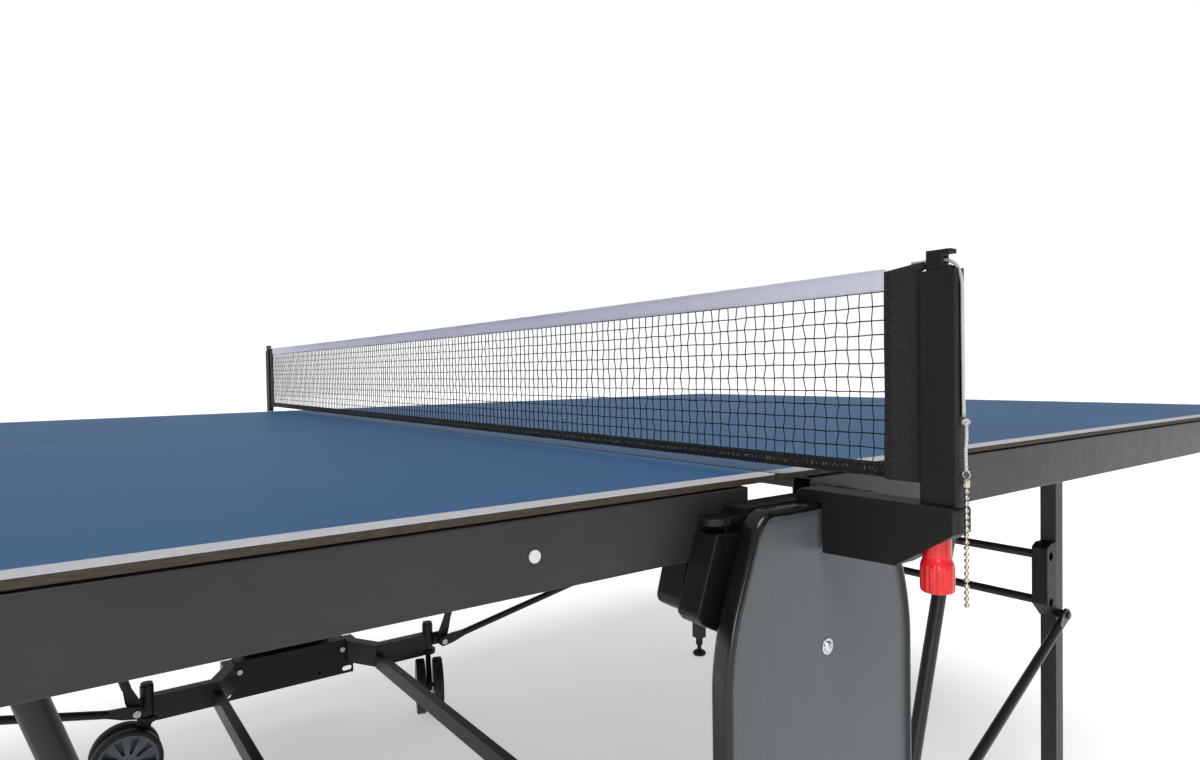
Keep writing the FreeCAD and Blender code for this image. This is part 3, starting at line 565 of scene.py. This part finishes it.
class TABLE_OT_metal_frame(bpy.types.Operator):
    """Finish the aprons, beams, pivot brackets, plugs and release levers"""
    bl_idname = "table.metal_frame"
    bl_label = "Metal Frame"

    def execute(self, context):
        colours = context.scene.table_colours
        coat = powder_coat("frame_coat", colours.frame, 0.36)
        zinc = plated_metal("zinc", ZINC, 0.32, 260)
        white = moulded_plastic("plug_plastic", (0.70, 0.70, 0.68), 0.4)
        grip = moulded_plastic("grip_plastic", colours.black, 0.36, corner=0.0015)
        for half in HALVES:
            dress(coat, f"apron_rails_{half}", f"cross_beams_{half}")
            dress(zinc, f"pivot_brackets_{half}")
            dress(white, f"apron_plugs_{half}")
            dress(grip, f"release_levers_{half}")
        return {"FINISHED"}


class TABLE_OT_folding_legs(bpy.types.Operator):
    """Finish the links, struts, legs, crossbars and screw feet"""
    bl_idname = "table.folding_legs"
    bl_label = "Folding Legs"

    def execute(self, context):
        colours = context.scene.table_colours
        coat = powder_coat("leg_coat", colours.legs, 0.38)
        black = moulded_plastic("foot_plastic", colours.black, 0.45)
        for half in HALVES:
            dress(coat, f"link_tubes_{half}", f"leg_struts_{half}", f"legs_{half}",
                  f"leg_crossbars_{half}")
            dress(black, f"crossbar_holders_{half}")
        dress(black, *[f"foot_{corner}" for corner in CORNERS])
        return {"FINISHED"}


class TABLE_OT_wheeled_base(bpy.types.Operator):
    """Finish the base rails, caster arms, end channels, uprights and their bolts"""
    bl_idname = "table.wheeled_base"
    bl_label = "Wheeled Base"

    def execute(self, context):
        colours = context.scene.table_colours
        dress(powder_coat("base_coat", colours.legs, 0.38), "base_rails", "caster_arms")
        dress(powder_coat("channel_coat", colours.black, 0.42), "end_channels", "tower_uprights")
        zinc = plated_metal("bolt_zinc", ZINC, 0.30, 400)
        dress(zinc, "base_pivot_bolts", "channel_bolts")
        return {"FINISHED"}


class TABLE_OT_casters(bpy.types.Operator):
    """Finish the twin-wheel casters"""
    bl_idname = "table.casters"
    bl_label = "Casters"

    def execute(self, context):
        colours = context.scene.table_colours
        rubber = tyre_rubber(colours.black)
        disc = moulded_plastic("wheel_plastic", colours.wheel, 0.40, corner=0.0008)
        fork = moulded_plastic("fork_plastic", colours.black, 0.40, corner=0.0015)
        for corner in CORNERS:
            dress(rubber, f"caster_tyres_{corner}")
            dress(disc, f"caster_discs_{corner}")
            dress(fork, f"caster_fork_{corner}")
        return {"FINISHED"}


class TABLE_OT_side_covers(bpy.types.Operator):
    """Round edging, screws and finishes of the side covers, and the lock housings"""
    bl_idname = "table.side_covers"
    bl_label = "Side Covers"

    def execute(self, context):
        colours = context.scene.table_colours
        dress(cover_paint(colours.cover), "side_panels")
        dress(moulded_plastic("housing_plastic", colours.black, 0.34, corner=0.0022), "lock_housings")
        edging = gloss_trim(scaled(colours.black, 0.8))
        zinc = plated_metal("screw_zinc", (0.66, 0.70, 0.72), 0.24, 500)
        for side in SIDES:
            finished(f"cover_edging_{side}", mirrored_to(side, self.edging()), edging, "base",
                     ["panel_trims"])
            finished(f"cover_screw_{side}", mirrored_to(side, self.screw()), zinc, "base",
                     ["panel_screws"], smooth=False)
        return {"FINISHED"}

    def edging(self):
        """A tray whose rounded rim wraps the edge of the cover."""
        low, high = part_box("panel_trims")
        half = high.x
        front = low.y
        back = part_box("side_panels")[0].y + 0.0150
        foot, waist, bend = half - 0.012, 0.470, 0.652
        shoulder = half - 0.035
        bm = bmesh.new()
        rim = flat_outline(bm, [
            (-foot, low.z, 0.004), (foot, low.z, 0.004), (half, waist, 0.006), (half, bend, 0.030),
            (shoulder, high.z, 0.013), (-shoulder, high.z, 0.013), (-half, bend, 0.030),
            (-half, waist, 0.006)], 10)
        bmesh.ops.translate(bm, verts=bm.verts, vec=(0, back, 0))
        extruded = bmesh.ops.extrude_face_region(bm, geom=[rim])
        moved = [item for item in extruded["geom"] if isinstance(item, bmesh.types.BMVert)]
        bmesh.ops.translate(bm, verts=moved, vec=(0, front - back, 0))
        bmesh.ops.recalc_face_normals(bm, faces=bm.faces)
        rims = [edge for edge in bm.edges if len(edge.link_faces) == 2
                and edge.link_faces[0].normal.angle(edge.link_faces[1].normal) > 1.2]
        bmesh.ops.bevel(bm, geom=rims, offset=0.0042, offset_type="OFFSET", segments=6, profile=0.5,
                        affect="EDGES", material=-1)
        for direction, depth in ((-1, 0.0034), (1, 0.0010)):
            face = max(bm.faces, key=lambda face: face.normal.y * direction * face.calc_area())
            for width, drop in ((0.0010, 0.0), (0.0006, -depth)):
                bmesh.ops.inset_region(bm, faces=[face], thickness=width, depth=drop)
        return bm

    def screw(self):
        """A pan head with a pressed washer and a cross recess."""
        low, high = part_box("panel_screws")
        centre = Vector((0.0, low.y, (low.z + high.z) / 2))
        profile = [(0.0, 0.0002), (0.0024, 0.0002), (0.0036, 0.0007), (0.0042, 0.0016),
                   (0.0043, 0.0026), (0.0062, 0.0027), (0.0063, 0.0035)]
        bm = bmesh.new()
        verts = [bm.verts.new(centre + Vector((radius, depth, 0))) for radius, depth in profile]
        edges = [bm.edges.new(pair) for pair in zip(verts, verts[1:])]
        bmesh.ops.spin(bm, geom=verts + edges, cent=centre, axis=(0, 1, 0), angle=2 * math.pi, steps=32,
                       use_merge=True)
        bmesh.ops.remove_doubles(bm, verts=bm.verts, dist=1e-6)
        close_ends(bm)
        recess = Matrix.Translation(centre + Vector((0, 0.0001, 0)))
        bar_size = Matrix.Diagonal((0.0044, 0.0003, 0.0009, 1.0))
        for turn in (0.5, 0.5 + math.pi / 2):
            bar = bmesh.ops.create_cube(bm, size=1.0)["verts"]
            shape = recess @ Matrix.Rotation(turn, 4, "Y") @ bar_size
            bmesh.ops.transform(bm, matrix=shape, verts=bar)
        bmesh.ops.recalc_face_normals(bm, faces=bm.faces)
        return bm


class TABLE_OT_net_posts(bpy.types.Operator):
    """Finish the net brackets, posts and caps, and make the fluted height knobs"""
    bl_idname = "table.net_posts"
    bl_label = "Net Posts"

    def execute(self, context):
        sizes, colours = context.scene.table_sizes, context.scene.table_colours
        dress(moulded_plastic("bracket_plastic", colours.black, 0.50, corner=0.0015), "net_brackets")
        post = moulded_plastic("post_plastic", scaled(colours.black, 1.8), 0.48, ribs=0.0021,
                               corner=0.0012)
        dress(post, "net_posts")
        dress(moulded_plastic("cap_plastic", scaled(colours.black, 1.4), 0.42), "post_caps")
        red = knob_plastic(colours.red)
        for side in SIDES:
            node = f"height_knob_{side}"
            finished(f"fluted_knob_{side}", self.knob(node, sizes.flutes), red, f"knob_{side}",
                     [node])
        return {"FINISHED"}

    def knob(self, node, flutes):
        """A turned knob whose lower grip is fluted."""
        low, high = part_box(node)
        centre = (low + high) / 2
        radius = high.x
        profile = [(0.0, 0.0), (0.55, 0.0), (0.88, 0.0), (0.93, 0.0004), (0.97, 0.0012), (0.985, 0.003),
                   (0.99, 0.006), (0.992, 0.010), (0.99, 0.014), (0.985, 0.0165), (0.96, 0.0185),
                   (0.90, 0.0203), (0.845, 0.0216), (0.825, 0.0235), (0.82, 0.028), (0.82, 0.036),
                   (0.82, 0.0400), (0.815, 0.0422), (0.79, 0.0430), (0.36, 0.0430), (0.36, 0.0525),
                   (0.36, 0.0544), (0.0, 0.0544)]

        def point(u, v):
            share, height = profile[round(u * (len(profile) - 1))]
            turn = 2 * math.pi * v
            grip = max(0.0, min(1.0, (0.0195 - height) / 0.004)) * min(1.0, height / 0.001)
            flute = max(0.0, math.cos(turn * flutes) - 0.35) / 0.65
            reach = radius * share * (1.0 - 0.055 * grip * flute)
            return Vector((centre.x + reach * math.cos(turn), centre.y + reach * math.sin(turn),
                           low.z + height))

        return lofted(len(profile) - 1, flutes * 12, point, (0.07, 2 * math.pi * radius))


class TABLE_OT_net(bpy.types.Operator):
    """Make the net: knotted mesh, white tape, knitted hem and end sleeves"""
    bl_idname = "table.net"
    bl_label = "Net"

    def execute(self, context):
        sizes, colours = context.scene.table_sizes, context.scene.table_colours
        self.sag = sizes.net_sag
        self.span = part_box("net_mesh")[1].y
        tape_cloth = woven("tape_cloth", colours.tape, 0.0007, 0.00012, 0.10, (0.0013, 0.0315))
        hem_cloth = woven("hem_cloth", colours.thread, 0.0021, 0.0008, 0.7, fuzz=0.04, flecks=0.35)
        sleeve_cloth = woven("sleeve_cloth", colours.sleeve, 0.0009, 0.00022, 0.6, fuzz=0.05,
                             overlock=(self.span + 0.0038, 0.0030))
        threads = self.threads(sizes, net_thread(colours.thread))
        band = [
            finished("net_tape_band", self.tape(), tape_cloth, "net_set", ["net_tape"]),
            finished("net_hem_band", self.hem(), hem_cloth, "net_set", ["net_hem"])]
        for side, sign in SIDES.items():
            band.append(finished(f"net_sleeve_{side}", self.sleeve(sign), sleeve_cloth, "net_set",
                                 ["net_sleeves"]))
        return {"FINISHED"}

    def hang(self, y, share):
        """How far the net hangs at y across the table; share is 1 at the tape and 0 at the hem."""
        return -self.sag * share * (1.0 - (y / self.span) ** 2)

    def threads(self, sizes, material):
        """Squares of thread, each knot pulled a little out of line."""
        low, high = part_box("net_mesh")
        columns = round((high.y - low.y) / sizes.mesh_pitch)
        rows = round((high.z - low.z) / sizes.mesh_pitch)
        knot_shift = 0.0007

        def point(u, v):
            column, row = round(u * columns), round(v * rows)
            y = low.y + (high.y - low.y) * u
            z = low.z + (high.z - low.z) * v + self.hang(y, v)
            inside = 1.0 if 0 < row < rows and 0 < column < columns else 0.25
            drift = noise.noise_vector(Vector((column * 0.83, row * 0.91, 4.7)))
            lean = noise.noise(Vector((column * 0.21, row * 0.35, 9.1)))
            zigzag = knot_shift if (column + row) % 2 else -knot_shift
            return Vector((0.0006 * drift.x * inside,
                           y + inside * (zigzag + 0.0013 * drift.y + 0.0012 * lean),
                           z + inside * 0.0007 * drift.z))

        bm = lofted(columns, rows, point, (high.y - low.y, high.z - low.z))
        piece = finished("net_threads", bm, material, "net_set", ["net_mesh"],
                         smooth=False)
        cords = piece.modifiers.new("threads", "WIREFRAME")
        cords.thickness = sizes.thread
        cords.use_boundary = True
        cords.use_even_offset = False
        return piece

    def band(self, low, high, half_thickness, share, steps, wrinkle):
        """A closed flat band across the table, from a height to a height."""
        middle, half = (low.z + high.z) / 2, (high.z - low.z) / 2

        def point(u, v):
            y = low.y + (high.y - low.y) * u
            turn = 2 * math.pi * v
            rise = math.copysign(abs(math.sin(turn)) ** 0.35, math.sin(turn))
            side = math.copysign(abs(math.cos(turn)) ** 0.5, math.cos(turn))
            ripple = noise.noise(Vector((y * 22, v * 3, 1.3))) * wrinkle
            lift = noise.noise(Vector((y * 31, 7.7, 2.1))) * wrinkle * 0.6
            return Vector((side * half_thickness(rise) + ripple, y,
                           middle + rise * half + lift + self.hang(y, share)))

        bm = lofted(steps, 28, point, (high.y - low.y, 4 * half))
        return close_ends(bm)

    def tape(self):
        low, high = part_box("net_tape")

        def half_thickness(rise):
            return 0.0009 + 0.0009 * math.exp(-((1.0 - rise) / 0.24) ** 2)

        return self.band(low, high, half_thickness, 1.0, 220, 0.0004)

    def hem(self):
        low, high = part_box("net_hem")
        return self.band(low, high, lambda rise: 0.0010 + 0.0003 * (1 - rise * rise), 0.0, 220, 0.0005)

    def sleeve(self, sign):
        """Folded cloth tube that carries the net's end on the post, its top cut on a slant."""
        inner, outer = self.span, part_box("net_sleeves")[1].y
        low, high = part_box("net_sleeves")
        slant, tab, post_top = 0.0035, 0.0046, 0.9074
        depth = outer - inner

        def point(u, v):
            turn = 2 * math.pi * v
            across = math.copysign(abs(math.cos(turn)) ** 0.4, math.cos(turn)) * 0.5 + 0.5
            side = math.copysign(abs(math.sin(turn)) ** 0.6, math.sin(turn))
            height = low.z + (high.z - low.z + slant * (across - 0.6)) * u
            crease = noise.noise(Vector((across * 2.0 + sign, height * 26, side * 0.8))) * 0.0009
            puff = 0.0011 + 0.0007 * math.sin(math.pi * across)
            edge = noise.noise(Vector((height * 60, across * 3, 5.0))) * 0.0006
            over_post = tab * across * max(0.0, min(1.0, (height - post_top) / 0.0006))
            return Vector((side * puff + crease,
                           sign * (inner - 0.0006 + depth * across + edge + over_post), height))

        bm = lofted(90, 40, point, (high.z - low.z, 2 * depth))
        return close_ends(bm)


class TABLE_OT_pull_cords(bpy.types.Operator):
    """Make the tightening cords, their knots and the bead chains"""
    bl_idname = "table.pull_cords"
    bl_label = "Pull Cords"

    def execute(self, context):
        sizes, colours = context.scene.table_sizes, context.scene.table_colours
        white = braid(colours.cord)
        nickel = plated_metal("bead_nickel", (0.62, 0.57, 0.50), 0.22, 900)
        for side in SIDES:
            route = [(0, -0.878, 0.9138), (0, -0.893, 0.9138), (0, -0.906, 0.9134), (0, -0.913, 0.904),
                     (0, -0.913, 0.880), (0.0003, -0.9131, 0.845), (0, -0.9136, 0.8115)]
            bm = cord_along(spline_points([Vector(p) for p in route], sizes.cord), sizes.cord / 2)
            finished(f"tightening_cord_{side}", mirrored_to(side, bm), white, "net_set",
                     ["tightening_cords"])
            node = f"pull_chain_{side}"
            low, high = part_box(node)
            hang_y = -abs((low.y + high.y) / 2)
            finished(f"cord_knot_{side}", mirrored_to(side, self.knot(hang_y, high.z, sizes)), white,
                     f"chain_{side}")
            finished(f"bead_chain_{side}", mirrored_to(side, self.chain(hang_y, sizes)), nickel,
                     f"chain_{side}", [node])
        return {"FINISHED"}

    def knot(self, y, top, sizes):
        """An overhand knot and the tail that carries the chain, as one line of cord."""
        centre = Vector((0, y, top - 0.0029))
        steps, knot_size = 22, 0.00082
        points = []
        for index in range(steps + 1):
            turn = 2 * math.pi * index / steps
            trefoil = Vector((math.sin(turn) + 2 * math.sin(2 * turn), -1.15 * math.sin(3 * turn),
                              math.cos(turn) - 2 * math.cos(2 * turn)))
            points.append(centre + trefoil * knot_size)
        tail = ((0.0006, 0.005), (0.0007, 0.011), (-0.0006, 0.018), (-0.0003, 0.025), (0.0, 0.0315))
        for sway, drop in tail:
            points.append(centre + Vector((sway, 0, -drop)))
        tight_radius = sizes.cord / 2 * 0.92
        return cord_along(spline_points(points, sizes.cord, 6), tight_radius, 12)

    def chain(self, y, sizes):
        """A ring, a crimp and the beads on their wire."""
        bm = bmesh.new()
        ring_z, ring_radius = 0.7746, 0.0024
        ring = bmesh.ops.create_circle(bm, radius=0.0005, segments=12, cap_ends=False)["verts"]
        bmesh.ops.transform(bm, matrix=Matrix.Translation((0, y + ring_radius, ring_z)), verts=ring)
        bmesh.ops.spin(bm, geom=ring + bm.edges[:], cent=(0, y, ring_z), axis=(1, 0, 0), angle=2 * math.pi,
                       steps=28, use_merge=True)
        bmesh.ops.remove_doubles(bm, verts=bm.verts, dist=1e-6)
        crimp = bmesh.ops.create_cube(bm, size=1.0)["verts"]
        shape = Matrix.Translation((0, y, 0.7690)) @ Matrix.Diagonal((0.0046, 0.0032, 0.0060, 1.0))
        bmesh.ops.transform(bm, matrix=shape, verts=crimp)
        crimp_edges = {edge for vert in crimp for edge in vert.link_edges}
        bmesh.ops.bevel(bm, geom=list(crimp_edges), offset=0.0009, offset_type="OFFSET", segments=3,
                        profile=0.5, affect="EDGES", material=-1)
        first = 0.7640
        hang = sizes.beads * sizes.bead_pitch
        wire, wire_radius = Matrix.Translation((0, y, first - hang / 2 + 0.002)), 0.0006
        bmesh.ops.create_cone(bm, cap_ends=True, cap_tris=False, segments=10, radius1=wire_radius,
                              radius2=wire_radius, depth=hang - 0.002, matrix=wire)
        for index in range(sizes.beads):
            sway = noise.noise(Vector((index * 0.35, y, 3.3))) * 0.0004
            place = Matrix.Translation((sway, y, first - index * sizes.bead_pitch))
            bmesh.ops.create_uvsphere(bm, u_segments=16, v_segments=10, radius=sizes.bead / 2,
                                      matrix=place)
        bmesh.ops.recalc_face_normals(bm, faces=bm.faces)
        return bm


class TABLE_OT_studio(bpy.types.Operator):
    """Make the pale floor, the soft lights and the camera"""
    bl_idname = "table.studio"
    bl_label = "Studio"

    def execute(self, context):
        self.floor(context.scene.table_sizes.floor)
        self.lights(context.scene)
        self.camera(context.scene)
        return {"FINISHED"}

    def floor(self, side):
        bm = bmesh.new()
        bmesh.ops.create_grid(bm, x_segments=8, y_segments=8, size=side / 2)
        bmesh.ops.translate(bm, verts=bm.verts, vec=(0, 0, -0.0005))
        mesh = bpy.data.meshes.new("studio_floor")
        bm.to_mesh(mesh)
        bm.free()
        finish = Finish("floor_paint", (0.94, 0.94, 0.94), 0.9, uniform={"Specular IOR Level": 0.1})
        finish.set("Base Color", finish.mix(finish.noise(0.7, 3), rgba((0.90, 0.90, 0.90)),
                                            rgba((0.92, 0.92, 0.92))))
        finish.set("Emission Color", rgba((1.0, 1.0, 1.0)))
        finish.set("Emission Strength", 0.42)
        mesh.materials.append(finish.material)
        floor = bpy.data.objects.new("studio_floor", mesh)
        bpy.context.scene.collection.objects.link(floor)

    def lights(self, scene):
        world = bpy.data.worlds.new("studio")
        world.use_nodes = True
        tree = world.node_tree
        fill = tree.nodes["Background"]
        backdrop = tree.nodes.new("ShaderNodeBackground")
        for background, strength in ((fill, 0.36), (backdrop, 1.05)):
            background.inputs["Color"].default_value = (1.0, 1.0, 1.0, 1.0)
            background.inputs["Strength"].default_value = strength
        seen = tree.nodes.new("ShaderNodeMixShader")
        path = tree.nodes.new("ShaderNodeLightPath")
        tree.links.new(path.outputs["Is Camera Ray"], seen.inputs[0])
        tree.links.new(fill.outputs[0], seen.inputs[1])
        tree.links.new(backdrop.outputs[0], seen.inputs[2])
        tree.links.new(seen.outputs[0], tree.nodes["World Output"].inputs["Surface"])
        scene.world = world
        scene.view_settings.view_transform = "Standard"
        for name, away, softness, strength in (
                ("key", (0.35, 0.55, -1.0), 40, 2.0),
                ("front", (0.75, 0.6, -0.10), 22, 0.55)):
            lamp = bpy.data.lights.new(name, "SUN")
            lamp.angle = math.radians(softness)
            lamp.energy = strength
            light = bpy.data.objects.new(name, lamp)
            light.rotation_euler = Vector(away).to_track_quat("-Z", "Y").to_euler()
            scene.collection.objects.link(light)

    def camera(self, scene):
        yaw, pitch, roll = 0.6256, 0.0228, -0.0156
        level = math.cos(pitch)
        ahead = Vector((math.sin(yaw) * level, math.cos(yaw) * level, -math.sin(pitch)))
        right = Vector((math.cos(yaw), -math.sin(yaw), 0.0))
        up = right.cross(ahead)
        turned_right = right * math.cos(roll) + up * math.sin(roll)
        turned_up = up * math.cos(roll) - right * math.sin(roll)
        lens = bpy.data.cameras.new("camera")
        lens.sensor_width = 36.0
        lens.lens = 23.206
        lens.shift_x = 0.0045
        lens.shift_y = 0.0067
        lens.clip_start = 0.02
        lens.clip_end = 200.0
        camera = bpy.data.objects.new("camera", lens)
        camera.matrix_world = Matrix((
            (turned_right.x, turned_up.x, -ahead.x, -0.48153),
            (turned_right.y, turned_up.y, -ahead.y, -1.17654),
            (turned_right.z, turned_up.z, -ahead.z, 0.84504),
            (0.0, 0.0, 0.0, 1.0)))
        scene.collection.objects.link(camera)
        scene.camera = camera


OPERATORS = (
    TABLE_OT_studio, TABLE_OT_pull_cords, TABLE_OT_playing_surface, TABLE_OT_metal_frame,
    TABLE_OT_folding_legs, TABLE_OT_wheeled_base, TABLE_OT_casters, TABLE_OT_side_covers,
    TABLE_OT_net_posts, TABLE_OT_net)


class TABLE_PT_panel(bpy.types.Panel):
    """Buttons for the table's pieces and its sizes and colours"""
    bl_idname = "TABLE_PT_panel"
    bl_label = "Table"
    bl_space_type = "VIEW_3D"
    bl_region_type = "UI"
    bl_category = "Table"

    def draw(self, context):
        for operator in OPERATORS:
            self.layout.operator(operator.bl_idname)
        for group in (context.scene.table_sizes, context.scene.table_colours):
            for name in group.__annotations__:
                self.layout.prop(group, name)


CLASSES = (TableSizes, TableColours, *OPERATORS, TABLE_PT_panel)


def register():
    for each in CLASSES:
        bpy.utils.register_class(each)
    bpy.types.Scene.table_sizes = PointerProperty(type=TableSizes)
    bpy.types.Scene.table_colours = PointerProperty(type=TableColours)


def unregister():
    del bpy.types.Scene.table_colours
    del bpy.types.Scene.table_sizes
    for each in reversed(CLASSES):
        bpy.utils.unregister_class(each)


def main():
    register()
    for operator in OPERATORS:
        family, name = operator.bl_idname.split(".")
        getattr(getattr(bpy.ops, family), name)()


if __name__ == "__main__":
    main()
